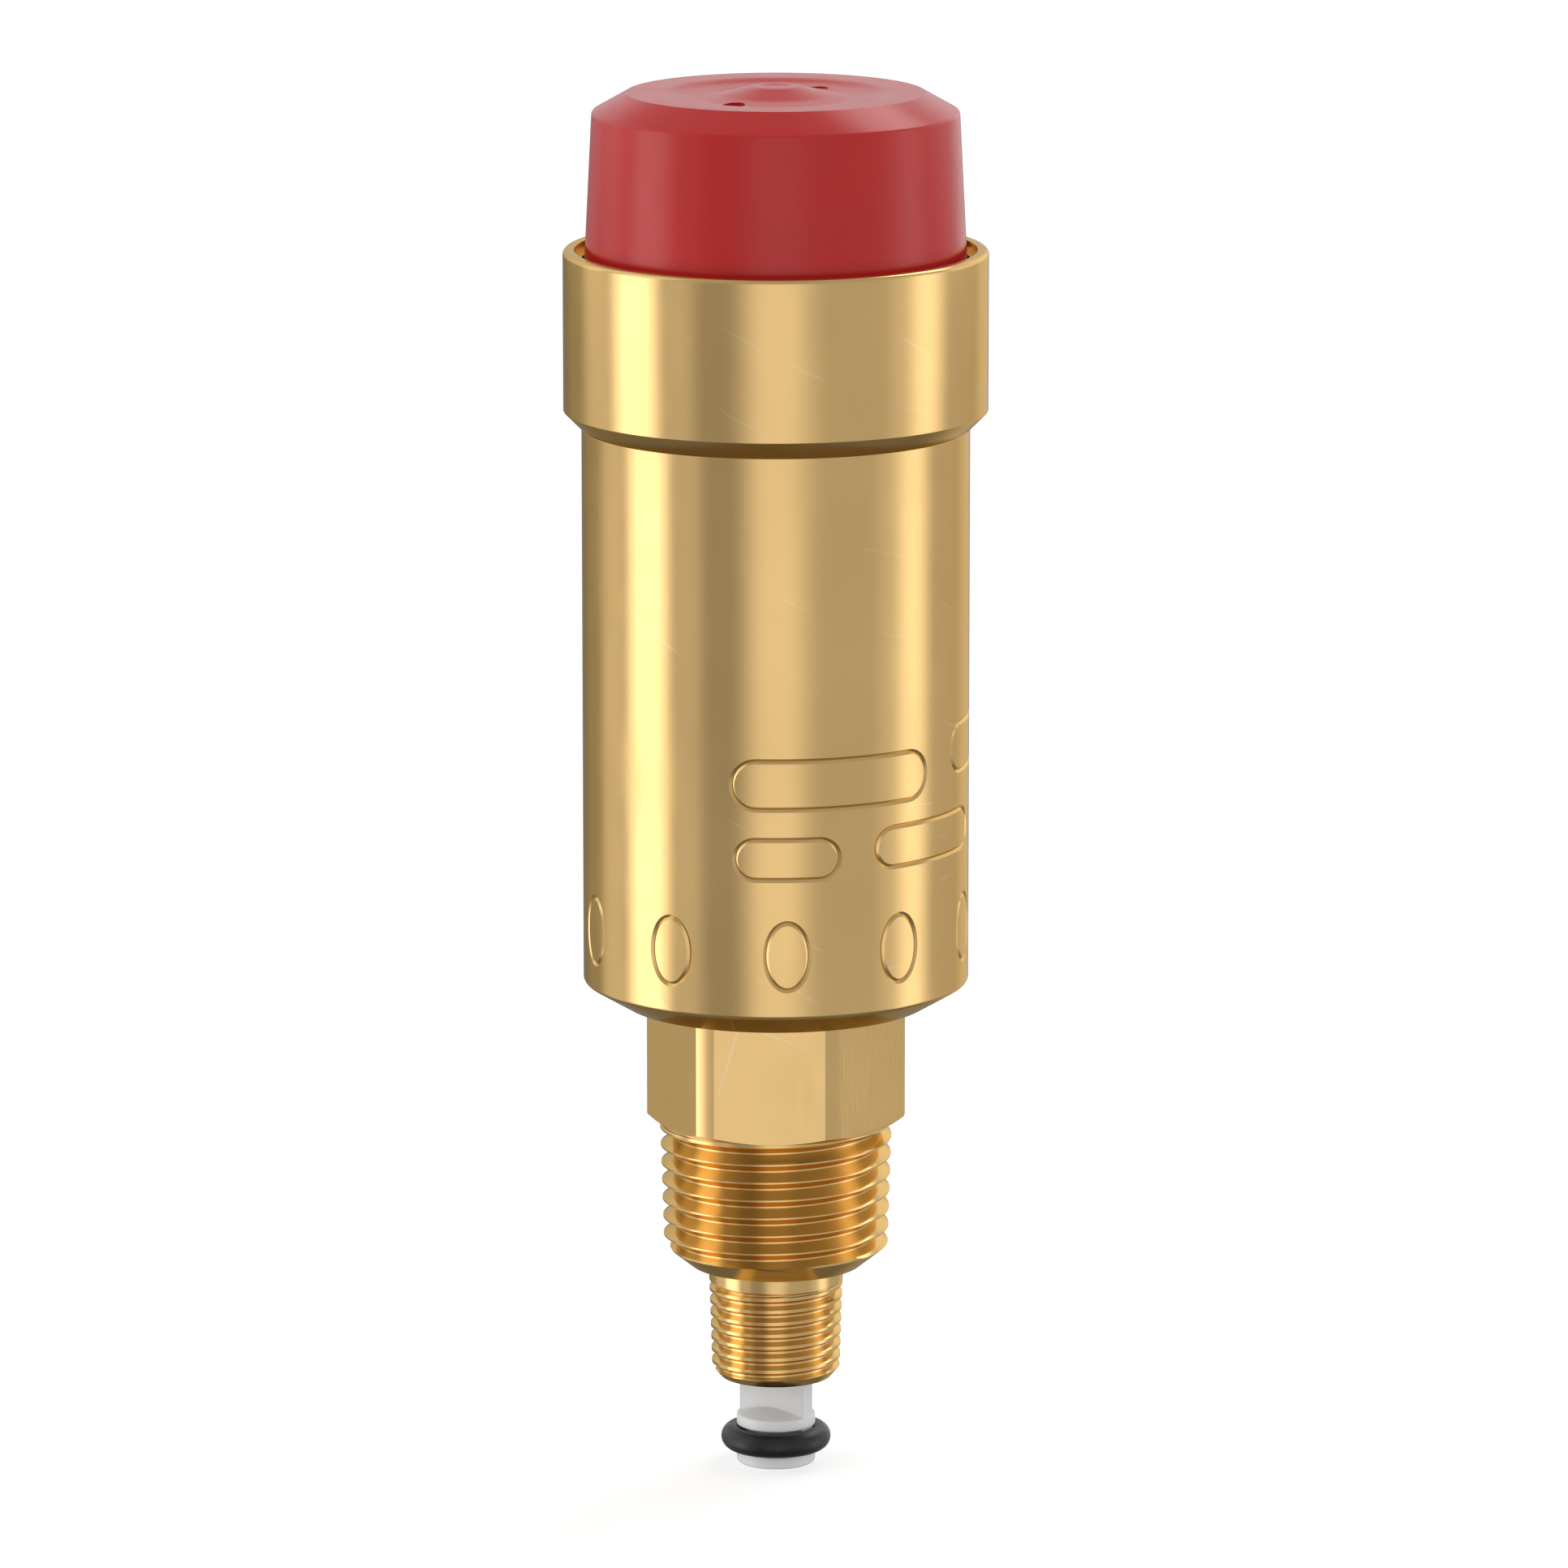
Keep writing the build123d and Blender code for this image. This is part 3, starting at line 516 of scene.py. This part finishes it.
def body_column(angle):
    """One section of the shut-off valve's body, from the hexagon's top down and back up the bore."""
    pipe_end_r, pipe_slope, pipe_face_r = 6.3, 1.25, 6.25
    nose_end_r, nose_slope, nose_face_r = 4.05, 0.87, 3.95
    seat_r, seat_chamfer = 3.35, 0.25
    fillet = 0.08
    hexagon = hexagon_radius(angle)
    chamfer_z = (hexagon - HEX_CHAMFER_R) * HEX_CHAMFER_H / (HEX_CORNER_R - HEX_CHAMFER_R)
    points = [
        (JOINT_BORE_R, HEX_TOP_Z),
        (hexagon - HEX_EDGE, HEX_TOP_Z),
        (hexagon, HEX_TOP_Z - HEX_EDGE),
        (hexagon, HEX_TOP_Z / 2),
        (hexagon, chamfer_z),
        (HEX_CHAMFER_R, 0.0),
    ]
    for z in pipe_thread.heights(angle):
        r = min(pipe_thread.radius(angle, z), chamfered(z, PIPE_END_Z, pipe_end_r, pipe_slope))
        points.append((r, z))
    neck_r = nose_crest(PIPE_END_Z)
    points += [
        (pipe_face_r, PIPE_END_Z),
        (neck_r + fillet, PIPE_END_Z),
        (neck_r, PIPE_END_Z - fillet),
    ]
    for z in nose_thread.heights(angle):
        r = min(nose_thread.radius(angle, z), chamfered(z, NOSE_END_Z, nose_end_r, nose_slope))
        points.append((r, z))
    points += [
        (nose_face_r, NOSE_END_Z),
        (seat_r, NOSE_END_Z),
        (PLUG_BORE_R, NOSE_END_Z + seat_chamfer),
        (PLUG_BORE_R, SPRING_BORE_Z),
        (SPRING_BORE_R, SPRING_BORE_Z),
        (SPRING_BORE_R, SEAL_BORE_Z),
        (SEAL_BORE_R, SEAL_BORE_Z),
        (SEAL_BORE_R, JOINT_BORE_Z),
        (JOINT_BORE_R, JOINT_BORE_Z),
    ]
    return points


valve_body = columns("valve_body_turned", hexagon_angles(360), body_column, closed=True)
smooth(valve_body, 18)
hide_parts("valve_body")
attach(valve_body, "shutoff_valve")

# ---------------------------------------------------------------- float chamber


def groove_cutter(name, paths, radius, half_width, depth):
    """V-section rings that follow closed paths of (arc length, height) drawn on a cylinder."""
    vertices, faces = [], []
    lift = 0.15  # how far the cutter stands out of the cylinder
    wide = half_width * (depth + lift) / depth
    for path in paths:
        count, first = len(path), len(vertices)
        for i, (x, z) in enumerate(path):
            ax, az = path[i - 1]
            bx, bz = path[(i + 1) % count]
            dx, dz = bx - ax, bz - az
            size = math.hypot(dx, dz)
            sx, sz = dz / size, -dx / size
            for side, out in ((wide, lift), (-wide, lift), (0, -depth)):
                angle = (x + sx * side) / radius
                r = radius + out
                vertices.append((r * math.cos(angle), r * math.sin(angle), z + sz * side))
        for i in range(count):
            a, b = first + 3 * i, first + 3 * ((i + 1) % count)
            faces += [(a + k, b + k, b + (k + 1) % 3, a + (k + 1) % 3) for k in range(3)]
    return mesh_object(name, vertices, faces)


def oval(x, z, half_w, half_h):
    """An upright oval as (arc length, height) points."""
    count = 56
    turns = [2 * math.pi * k / count for k in range(count)]
    return [(x + half_w * math.cos(t), z + half_h * math.sin(t)) for t in turns]


def pill(x0, x1, z, half_h):
    """A long field with round ends as (arc length, height) points, its straight sides divided."""
    steps, longest = 14, 0.5
    points = []
    for centre, start in ((x1 - half_h, -90), (x0 + half_h, 90)):
        for k in range(steps + 1):
            t = math.radians(start + 180 * k / steps)
            points.append((centre + half_h * math.cos(t), z + half_h * math.sin(t)))
    for k in range(len(points) - 1, -1, -1):
        a, b = points[k], points[(k + 1) % len(points)]
        gap = math.dist(a, b)
        if gap > 2 * longest:
            parts = int(gap / longest)
            step_x, step_z = b[0] - a[0], b[1] - a[1]
            between = [(a[0] + step_x * i / parts, a[1] + step_z * i / parts) for i in range(1, parts)]
            points[k + 1 : k + 1] = between
    return points


def chamber_profile():
    """The chamber's section: up the spigot and the outside, over the rim and down the inside."""
    floor_z = 10.4
    cone_r, cone_top = 11.2, 10.63
    neck_r, shoulder_z, rim_z = 13.35, COLLAR_LOW_Z, 58.5
    port_r, stem_r, stem_end_z = 2.9, 4.75, -4.7
    groove_r, groove_low, groove_high = 3.85, -3.6, -2.2
    joint_end_z = 3.2
    floor_slope_w, floor_slope_h = 3.35, 1.8
    points = [
        (port_r, stem_end_z, 0),
        (stem_r, stem_end_z, 0.2),
        (stem_r, groove_low, 0),
        (groove_r, groove_low, 0),
        (groove_r, groove_high, 0),
        (stem_r, groove_high, 0),
        (stem_r, joint_end_z, 0.1),
        (JOINT_R, joint_end_z, 0.2),
        (JOINT_R, HEX_TOP_Z, 0),
        (cone_r, HEX_TOP_Z, 0.12),
        (CHAMBER_R, cone_top, 0.35),
        (CHAMBER_R, shoulder_z, 0.05),
        (neck_r, shoulder_z, 0),
        (neck_r, rim_z, 0.1),
        (CHAMBER_BORE_R, rim_z, 0.1),
        (CHAMBER_BORE_R, floor_z + floor_slope_h, 0.4),
        (CHAMBER_BORE_R - floor_slope_w, floor_z, 0.4),
        (port_r, floor_z, 0.1),
    ]
    return rounded(points, 6)


def chamber_arc(degrees):
    """Arc length round the chamber to a direction, in degrees to the right of the front."""
    return (math.radians(-90) + math.radians(degrees)) * CHAMBER_R


# plain engraved ovals all round, the first a little right of the front
OVAL_COUNT = 10
FIRST_OVAL = 3.4
OVAL_Z, OVAL_HALF_W, OVAL_HALF_H = 15.15, 1.55, 2.45
# plain engraved fields: direction of the left and right end in degrees, height, half height
FIELDS = ((-13, 50, 27.6, 1.75), (64, 118, 28.6, 1.75), (-12, 19, 22.2, 1.45), (31, 78, 22.6, 1.45))
ENGRAVED_HALF_W, ENGRAVED_DEPTH = 0.19, 0.13
oval_places = [chamber_arc(FIRST_OVAL + 360 / OVAL_COUNT * k) for k in range(OVAL_COUNT)]
marks = [oval(place, OVAL_Z, OVAL_HALF_W, OVAL_HALF_H) for place in oval_places]
fields = [pill(chamber_arc(left), chamber_arc(right), z, half) for left, right, z, half in FIELDS]
joint_thread = Thread(
    pitch=1.25,
    depth=0.6,
    crest_flat=0.16,
    root_flat=0.3,
    crest_at=lambda z: JOINT_R,
    crest_z=8.2,
    low=3.5,
    high=HEX_TOP_Z - 0.5,
    run_out=0.3,
)
chamber_section = chamber_profile()
thread_place = chamber_section.index((JOINT_R, HEX_TOP_Z))


def chamber_column(angle):
    """One section of the chamber, with the thread of its screwed spigot."""
    heights = reversed(joint_thread.heights(angle))
    thread = [(joint_thread.radius(angle, z), z) for z in heights]
    return chamber_section[:thread_place] + thread + chamber_section[thread_place:]


chamber = columns("chamber_shell", around(240), chamber_column, closed=True)
engraving = groove_cutter("groove_cutter", marks + fields, CHAMBER_R, ENGRAVED_HALF_W, ENGRAVED_DEPTH)
cut(chamber, engraving)
smooth(chamber, 30)
barrel_normals(chamber, CHAMBER_R)
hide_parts("float_chamber")
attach(chamber, "vent")

# ---------------------------------------------------------------- head collar

collar_bore_r, collar_chamfer = 13.4, 1.28
mouth_r, ledge_r, mouth_depth = 14.45, 13.95, 0.75
web_r, web_low, web_high = 12.2, 60.0, 61.0
collar_points = [
    (collar_bore_r, COLLAR_LOW_Z, 0.05),
    (COLLAR_R - collar_chamfer, COLLAR_LOW_Z, 0.05),
    (COLLAR_R, COLLAR_LOW_Z + collar_chamfer, 0.12),
    (COLLAR_R, COLLAR_TOP_Z, 0.6),
    (mouth_r, COLLAR_TOP_Z, 0.08),
    (mouth_r, COLLAR_TOP_Z - mouth_depth, 0),
    (ledge_r, COLLAR_TOP_Z - mouth_depth, 0.05),
    (ledge_r, web_high, 0),
    (web_r, web_high, 0),
    (web_r, web_low, 0),
    (collar_bore_r, web_low, 0),
]
collar = turned("collar_ring", rounded(collar_points, 8), 240)
smooth(collar, 30)
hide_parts("head_collar")
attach(collar, "vent")

# ---------------------------------------------------------------- cap


def hill(r):
    """Height of the cap's top inside its flat ring, above the ring: a dish on a hill in a moat."""
    dish = ((0, 0.33), (0.8, 0.36), (1.25, 0.45), (1.45, HILL_H), (1.75, 0.44), (2.6, 0.22))
    moat = ((4.2, -0.18), (5.8, -0.36), (7.0, -0.24), (8.0, 0.0))
    stops = dish + moat
    for (r0, h0), (r1, h1) in zip(stops, stops[1:]):
        if r <= r1:
            share = (r - r0) / (r1 - r0)
            return h0 + (h1 - h0) * share
    return 0.0


def smooth_hill(r):
    """The same, averaged so that it has no corners."""
    reach = 0.35 if r > 2 else 0.18
    samples = [hill(abs(r + reach * k / 6)) for k in range(-6, 7)]
    return sum(samples) / len(samples)


HILL_R, HILL_STEPS = 8.6, 60
ring_r, wall = 10.7, 1.3
shoulder_r, shoulder_z = 13.18, CAP_TOP_Z - 1.41
roof_z = CAP_TOP_Z - 1.73
inner_corner_z = shoulder_z - 1.4
thread_r, thread_bore_r, thread_end_z = 4.5, 3.55, 64.5
hill_radii = [HILL_R * k / HILL_STEPS for k in range(HILL_STEPS)]
cap_middle = [(r, CAP_TOP_Z + smooth_hill(r)) for r in hill_radii]
cap_points = [
    (HILL_R, CAP_TOP_Z, 0),
    (ring_r, CAP_TOP_Z, 0.12),
    (shoulder_r, shoulder_z, 0.3),
    (CAP_RIM_R, CAP_RIM_Z, 0.15),
    (CAP_RIM_R - wall, CAP_RIM_Z, 0.1),
    (shoulder_r - wall, inner_corner_z, 0.3),
    (ring_r, roof_z, 0.2),
    (thread_r, roof_z, 0.1),
    (thread_r, thread_end_z, 0.1),
    (thread_bore_r, thread_end_z, 0.1),
    (thread_bore_r, roof_z, 0),
    (0, roof_z, 0),
]


def hole_cutter(name, centres, radius, low_z, high_z):
    """Upright rods with flat ends."""
    sides = 48
    vertices, faces = [], []
    for x, y in centres:
        first = len(vertices)
        for z in (low_z, high_z):
            vertices += [(px, py, z) for px, py in circle(x, y, radius, sides)]
        faces.append(tuple(range(first, first + sides)))
        faces.append(tuple(range(first + 2 * sides - 1, first + sides - 1, -1)))
        for k in range(sides):
            a, b = first + k, first + (k + 1) % sides
            faces.append((a, b, b + sides, a + sides))
    return mesh_object(name, vertices, faces)


VENT_HOLE_R, VENT_HOLE_CIRCLE_R, VENT_HOLE_TURN = 0.8, 5.5, math.radians(57.3)
CUTTER_OVERLAP = 0.5
vent_holes = []
for side in (0, math.pi):
    hole_turn = VENT_HOLE_TURN + side
    hole_x = VENT_HOLE_CIRCLE_R * math.cos(hole_turn)
    hole_y = VENT_HOLE_CIRCLE_R * math.sin(hole_turn)
    vent_holes.append((hole_x, hole_y))
cap = turned("cap_shell", cap_middle + rounded(cap_points, 6), 240, closed=False)
cutter_low_z, cutter_high_z = roof_z - CUTTER_OVERLAP, CAP_TOP_Z + CUTTER_OVERLAP
cut(cap, hole_cutter("hole_cutter", vent_holes, VENT_HOLE_R, cutter_low_z, cutter_high_z))
smooth(cap, 30)
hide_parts("cap")
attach(cap, "screw_cap")

# ---------------------------------------------------------------- shut-off plug and its ring

PLUG_END_Z = bottom("shutoff_plug")
BLADE_TOP_Z = top("shutoff_plug")
RING_Z = (top("plug_o_ring") + bottom("plug_o_ring")) / 2
RING_SECTION_R = (top("plug_o_ring") - bottom("plug_o_ring")) / 2
RING_CENTRE_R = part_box("plug_o_ring")[1][0] / MM - RING_SECTION_R
DISC_R = 2.88
DISC_TOP_Z = PLUG_END_Z + 3.66
DISC_CONE_H = 0.64
RING_GROOVE_R, RING_GROOVE_HALF_H = 2.22, 0.95

plug_points = [
    (0, PLUG_END_Z, 0),
    (DISC_R, PLUG_END_Z, 0.25),
    (DISC_R, RING_Z - RING_GROOVE_HALF_H, 0.1),
    (RING_GROOVE_R, RING_Z - RING_GROOVE_HALF_H, 0),
    (RING_GROOVE_R, RING_Z + RING_GROOVE_HALF_H, 0),
    (DISC_R, RING_Z + RING_GROOVE_HALF_H, 0.1),
    (DISC_R, DISC_TOP_Z, 0.15),
    (0, DISC_TOP_Z + DISC_CONE_H, 0),
]
plug = turned("plug_disc", rounded(plug_points, 5), 128, closed=False)
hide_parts("shutoff_plug")

# the flat blade that rises from the disc through the bore, notched for the spring's retainer
BLADE_HALF_W, BLADE_HALF_T, BLADE_TURN = 2.75, 0.675, math.radians(-32)
NOTCH_DEPTH, NOTCH_ROOM = 0.5, 0.02
notch_low = bottom("spring_retainer") - NOTCH_ROOM
notch_high = top("spring_retainer") + NOTCH_ROOM
outline = [
    (BLADE_HALF_W, RING_Z),
    (BLADE_HALF_W, notch_low),
    (BLADE_HALF_W - NOTCH_DEPTH, notch_low),
    (BLADE_HALF_W - NOTCH_DEPTH, notch_high),
    (BLADE_HALF_W, notch_high),
    (BLADE_HALF_W, BLADE_TOP_Z),
]
outline += [(-x, z) for x, z in reversed(outline)]
blade_vertices = []
for side in (-BLADE_HALF_T, BLADE_HALF_T):
    for x, z in outline:
        turned_x = x * math.cos(BLADE_TURN) - side * math.sin(BLADE_TURN)
        turned_y = x * math.sin(BLADE_TURN) + side * math.cos(BLADE_TURN)
        blade_vertices.append((turned_x, turned_y, z))
count = len(outline)
blade_faces = [tuple(range(count)), tuple(range(2 * count - 1, count - 1, -1))]
blade_faces += [(k, (k + 1) % count, count + (k + 1) % count, count + k) for k in range(count)]
blade = mesh_object("plug_blade", blade_vertices, blade_faces)
bevel = blade.modifiers.new("edges", "BEVEL")
bevel.width = 0.08 * MM
bevel.segments = 3

plug_ring = turned("plug_ring", circle(RING_CENTRE_R, RING_Z, RING_SECTION_R, 32), 128)
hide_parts("plug_o_ring")

for piece, slot in ((plug, "plug_plastic"), (blade, "plug_plastic"), (plug_ring, "plug_rubber")):
    smooth(piece, 35)
    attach(piece, "plug")

# ---------------------------------------------------------------- materials

# two hairlines on the hexagon's front flat: x and z of both ends, mm
HEX_SCRATCHES = (
    (-2.6, HEX_TOP_Z, -4.1, HEX_TOP_Z - 5.2),
    (-2.1, HEX_TOP_Z - 0.2, 3.3, HEX_TOP_Z - 2.2),
)

looks = {
    "valve_brass": brass("valve_brass_look", 0.13, grain=0.35, long_scratches=HEX_SCRATCHES),
    "chamber_brass": brass("chamber_brass_look", 0.14),
    "collar_brass": brass("collar_brass_look", 0.14),
    "head_brass": brass("head_brass_look", 0.3),
    "cap_plastic": plastic("cap_plastic_look", (0.65, 0.024, 0.024), 0.22, ior=1.43),
    "plug_plastic": plastic("plug_plastic_look", (0.97, 0.97, 0.97), 0.4),
    "plug_rubber": rubber("plug_rubber_look", (0.006, 0.006, 0.006), 0.4),
    "seal_rubber": rubber("seal_rubber_look", (0.02, 0.02, 0.02), 0.5),
    "retainer_steel": steel("retainer_steel_look", 0.3),
    "spring_steel": steel("spring_steel_look", 0.2),
    "lever_steel": steel("lever_steel_look", 0.3),
    "float_plastic": plastic("float_plastic_look", (0.8, 0.79, 0.74), 0.5),
}
pieces = {
    "valve_brass": (valve_body,),
    "chamber_brass": (chamber,),
    "collar_brass": (collar,),
    "cap_plastic": (cap,),
    "plug_plastic": (plug, blade),
    "plug_rubber": (plug_ring,),
}
for look, objects in pieces.items():
    for obj in objects:
        obj.data.materials.clear()
        obj.data.materials.append(looks[look])

# the CAD nodes that stay take the look of their own slot
slots = {entry["node"]: entry["material_slot"] for entry in frame["record"]["subparts"]}
for name, node in frame["nodes"].items():
    for holder in node.material_slots:
        holder.material = looks[slots[name]]

# ---------------------------------------------------------------- studio

bpy.ops.mesh.primitive_plane_add(size=40, location=(0, 0, cad_low.z))
floor = bpy.context.object
floor.name = "floor"
paper = Nodes("floor_paper")
paper.set(Base_Color=paper.ramp(paper.noise(6, 2), (0.3, 0.62), (0.7, 0.64)), Roughness=0.9)
paper.set(Emission_Color=(1, 1, 1, 1), Emission_Strength=0.62)
floor.data.materials.append(paper.material)
floor.visible_glossy = False
floor.visible_diffuse = False

# brightness of the plain surround, of what is overhead and of what is below, and between which
# elevations in degrees one turns into the other
SURROUND = 0.4
CEILING, CEILING_FROM, CEILING_TO = 0.5, -2, 45
BENCH, BENCH_FROM, BENCH_TO = 0.2, -48, -14
# upright cards and lights round the vent: direction in degrees from the front, + to the right;
# half width; softness of the edge; brightness above that of the surround
CARDS = (
    (-170, 18, 10, -0.12),
    (-114, 12, 7, 0.38),
    (-82.5, 14.5, 8, 1.7),
    (-54, 9, 6, 0.28),
    (1, 17, 11, 0.63),
    (48, 28, 8, 0.18),
    (75, 9, 8, 0.22),
    (90, 10, 9, 1.1),
    (122, 22, 6, 0.2),
    (155, 12, 7, 0.42),
)
# lamps behind the vent and at its side: direction, half width, elevation, half height, brightness
LAMPS = (
    (142, 22, 47, 10, 2.4),
    (180, 70, 14, 16, 0.4),
    (-100, 40, 40, 14, 0.4),
)
LAMP_SOFT = 6


class Studio:
    """The world's light, worked out from the direction in which a ray leaves."""

    def __init__(self, world):
        world.use_nodes = True
        self.tree = world.node_tree
        self.background = self.tree.nodes["Background"]
        way = self.tree.nodes.new("ShaderNodeTexCoord").outputs["Generated"]
        split = self.tree.nodes.new("ShaderNodeSeparateXYZ")
        self.tree.links.new(way, split.inputs[0])
        x, y, z = split.outputs
        self.azimuth = self.math("DEGREES", self.math("ARCTAN2", x, self.math("MULTIPLY", y, -1.0)))
        self.elevation = self.math("DEGREES", self.math("ARCSINE", z))

    def math(self, operation, *values):
        """The result of one sum on a few values."""
        node = self.tree.nodes.new("ShaderNodeMath")
        node.operation = operation
        for socket, value in zip(node.inputs, values):
            if isinstance(value, bpy.types.NodeSocket):
                self.tree.links.new(value, socket)
            else:
                socket.default_value = value
        return node.outputs[0]

    def step(self, value, start, end):
        """0 at start, 1 at end, smooth between."""
        node = self.tree.nodes.new("ShaderNodeMapRange")
        node.interpolation_type = "SMOOTHSTEP"
        self.tree.links.new(value, node.inputs["Value"])
        node.inputs["From Min"].default_value = start
        node.inputs["From Max"].default_value = end
        return node.outputs["Result"]

    def band(self, value, centre, half, soft):
        """1 within half of the centre, 0 beyond, with a soft edge; directions wrap at 360 degrees."""
        turned_off = self.math("WRAP", self.math("SUBTRACT", value, centre), 180.0, -180.0)
        off = self.math("ABSOLUTE", turned_off)
        return self.math("SUBTRACT", 1.0, self.step(off, half - soft, half + soft))

    def blend(self, share, low, high):
        """low at share 0, high at share 1."""
        return self.math("ADD", low, self.math("MULTIPLY", share, self.math("SUBTRACT", high, low)))

    def light(self):
        """Brightness in every direction."""
        around = SURROUND
        for azimuth, half, soft, extra in CARDS:
            card = self.math("MULTIPLY", self.band(self.azimuth, azimuth, half, soft), extra)
            around = self.math("ADD", around, card)
        off_bench = self.step(self.elevation, BENCH_FROM, BENCH_TO)
        overhead = self.step(self.elevation, CEILING_FROM, CEILING_TO)
        level = self.blend(overhead, self.blend(off_bench, BENCH, around), CEILING)
        for azimuth, half_w, height, half_h, extra in LAMPS:
            across = self.band(self.azimuth, azimuth, half_w, LAMP_SOFT)
            along = self.band(self.elevation, height, half_h, LAMP_SOFT)
            lamp = self.math("MULTIPLY", self.math("MULTIPLY", across, along), extra)
            level = self.math("ADD", level, lamp)
        return level


world = bpy.data.worlds.new("studio")
bpy.context.scene.world = world
studio = Studio(world)
camera_sees = studio.tree.nodes.new("ShaderNodeLightPath").outputs["Is Camera Ray"]
strength = studio.blend(camera_sees, studio.light(), 1.0)
studio.tree.links.new(strength, studio.background.inputs["Strength"])
studio.background.inputs["Color"].default_value = (1, 1, 1, 1)
world.cycles.sampling_method = "MANUAL"
world.cycles.sample_map_resolution = 1024
bpy.context.scene.view_settings.view_transform = "Standard"

# ---------------------------------------------------------------- camera

ELEVATION = math.radians(11.6)
DISTANCE = 0.7054
AIM = Vector((0.00059, 0, 0.02489))
camera = bpy.data.objects.new("camera", bpy.data.cameras.new("camera"))
bpy.context.collection.objects.link(camera)
camera.data.sensor_width = 36
camera.data.lens = 223.6
camera.location = AIM + DISTANCE * Vector((0, -math.cos(ELEVATION), math.sin(ELEVATION)))
camera.rotation_mode = "QUATERNION"
camera.rotation_quaternion = (AIM - camera.location).to_track_quat("-Z", "Y")
bpy.context.scene.camera = camera
